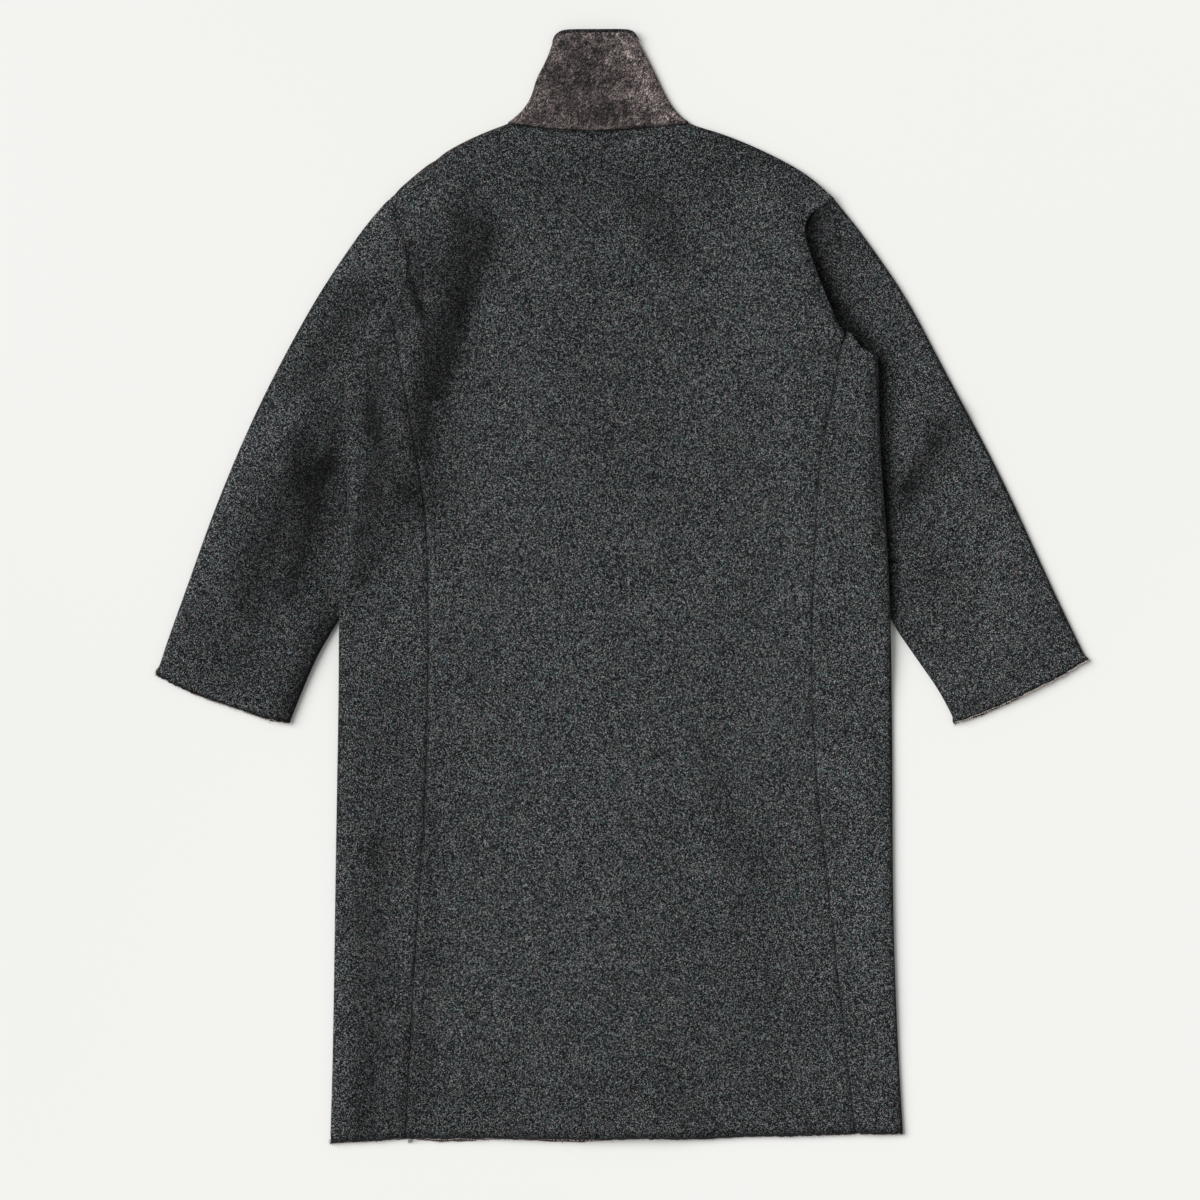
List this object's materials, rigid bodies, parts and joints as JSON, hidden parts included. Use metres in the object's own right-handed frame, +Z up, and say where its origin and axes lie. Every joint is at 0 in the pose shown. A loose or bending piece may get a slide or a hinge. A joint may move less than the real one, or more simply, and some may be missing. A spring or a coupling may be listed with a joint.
{
  "type": "reversible coat",
  "caption": "Long double-faced wool coat with side panels, set-in sleeves and a raised collar, laid flat on its front.",
  "frame": {"origin": "middle of the coat's outline, on the surface that it lies on", "axes": "+Y from the hem towards the collar, +X towards the right sleeve of the wearer, +Z up from the surface"},
  "size_m": [1.011, 1.21, 0.0147],
  "materials": {
    "outer_cloth": "matt charcoal wool tweed flecked with pale grey, brown and blue",
    "pile_side": "crushed taupe pile, the reverse of the same cloth, with a soft sheen"
  },
  "bodies": {
    "root": {"back_center": "outer_cloth", "side_panel_left": "outer_cloth", "side_panel_right": "outer_cloth", "front_left": "outer_cloth", "front_right": "outer_cloth", "sleeve_left": "outer_cloth", "sleeve_right": "outer_cloth", "collar": "pile_side"}
  },
  "joints": []
}
